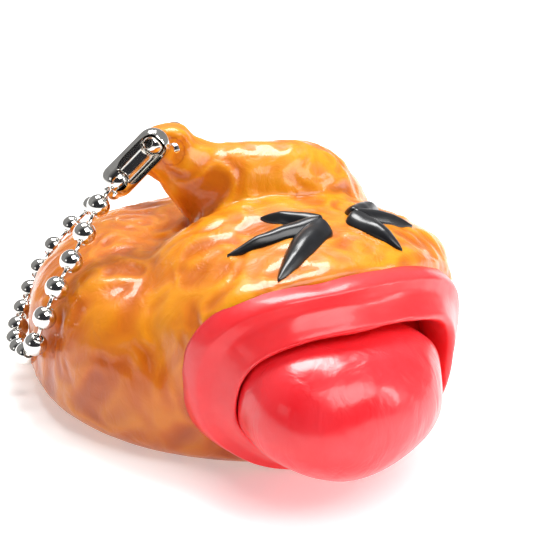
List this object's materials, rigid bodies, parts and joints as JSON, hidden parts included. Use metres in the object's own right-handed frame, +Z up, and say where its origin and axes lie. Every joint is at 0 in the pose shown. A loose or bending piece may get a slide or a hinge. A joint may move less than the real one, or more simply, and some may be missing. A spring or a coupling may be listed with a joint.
{
  "type": "squeeze toy keychain",
  "caption": "Soft coiled squeeze-toy keychain with a squinting face, thick lips, a tongue bladder that pops out, and a ball chain loop through its tip.",
  "frame": {"origin": "middle of the flat foot that the toy stands on", "axes": "+Z up, the face towards -Y, +X to the right as seen from in front of the face"},
  "size_m": [0.0475, 0.0544, 0.0282],
  "materials": {
    "vinyl_skin": "glossy soft vinyl, mottled orange-brown",
    "lip_vinyl": "glossy soft vinyl, pink-red",
    "tongue_vinyl": "glossy thin stretched vinyl, deep red",
    "eye_paint": "satin black paint",
    "nickel_bead": "bright nickel plate",
    "nickel_connector": "bright nickel plate",
    "nickel_wire": "bright nickel plate"
  },
  "bodies": {
    "toy": {"body_shell": "vinyl_skin", "lip_ring": "lip_vinyl", "left_eye": "eye_paint", "right_eye": "eye_paint"},
    "tongue": {"tongue_bladder": "tongue_vinyl", "tongue_collar": "tongue_vinyl"},
    "chain_top": {"bead_01": "nickel_bead", "bead_22": "nickel_bead", "bead_23": "nickel_bead", "bead_24": "nickel_bead", "bead_25": "nickel_bead", "links_0": "nickel_wire", "connector": "nickel_connector"},
    "chain_fold_1": {"bead_02": "nickel_bead", "bead_21": "nickel_bead", "links_1": "nickel_wire"},
    "chain_fold_2": {"bead_03": "nickel_bead", "bead_20": "nickel_bead", "links_2": "nickel_wire"},
    "chain_fold_3": {"bead_04": "nickel_bead", "bead_19": "nickel_bead", "links_3": "nickel_wire"},
    "chain_fold_4": {"bead_05": "nickel_bead", "bead_18": "nickel_bead", "links_4": "nickel_wire"},
    "chain_fold_5": {"bead_06": "nickel_bead", "bead_17": "nickel_bead", "links_5": "nickel_wire"},
    "chain_fold_6": {"bead_07": "nickel_bead", "bead_16": "nickel_bead", "links_6": "nickel_wire"},
    "chain_bottom": {"bead_08": "nickel_bead", "bead_09": "nickel_bead", "bead_10": "nickel_bead", "bead_11": "nickel_bead", "bead_12": "nickel_bead", "bead_13": "nickel_bead", "bead_14": "nickel_bead", "bead_15": "nickel_bead", "links_7": "nickel_wire"}
  },
  "joints": [
    {"name": "tongue_retract", "type": "slide", "parent": "toy", "child": "tongue", "axis": [0, 1, 0], "range_m": [0, 0.0105]},
    {"name": "chain_swing", "type": "hinge", "parent": "toy", "child": "chain_top", "pos_m": [-0.00551, 0.00665, 0.0252], "axis": [0.5, 0.866, 0], "range_deg": [0, 95]},
    {"name": "chain_bend_1", "type": "hinge", "parent": "chain_top", "child": "chain_fold_1", "pos_m": [-0.00816, 0.00805, 0.02356], "axis": [0.7894, 0.5971, 0.1424], "range_deg": [0, 12]},
    {"name": "chain_bend_2", "type": "hinge", "parent": "chain_fold_1", "child": "chain_fold_2", "pos_m": [-0.0093, 0.00912, 0.02145], "axis": [0.75, 0.6476, 0.1349], "range_deg": [0, 12]},
    {"name": "chain_bend_3", "type": "hinge", "parent": "chain_fold_2", "child": "chain_fold_3", "pos_m": [-0.01081, 0.00946, 0.01902], "axis": [0.6931, 0.7119, 0.113], "range_deg": [0, 12]},
    {"name": "chain_bend_4", "type": "hinge", "parent": "chain_fold_3", "child": "chain_fold_4", "pos_m": [-0.01254, 0.00957, 0.01673], "axis": [0.6378, 0.7652, 0.0874], "range_deg": [0, 12]},
    {"name": "chain_bend_5", "type": "hinge", "parent": "chain_fold_4", "child": "chain_fold_5", "pos_m": [-0.01441, 0.00972, 0.01457], "axis": [0.5895, 0.8047, 0.0703], "range_deg": [0, 12]},
    {"name": "chain_bend_6", "type": "hinge", "parent": "chain_fold_5", "child": "chain_fold_6", "pos_m": [-0.01622, 0.0099, 0.01214], "axis": [0.5397, 0.8376, 0.0842], "range_deg": [0, 12]},
    {"name": "chain_bend_7", "type": "hinge", "parent": "chain_fold_6", "child": "chain_bottom", "pos_m": [-0.01779, 0.01034, 0.00961], "axis": [0.499, 0.8575, 0.125], "range_deg": [0, 9]}
  ]
}
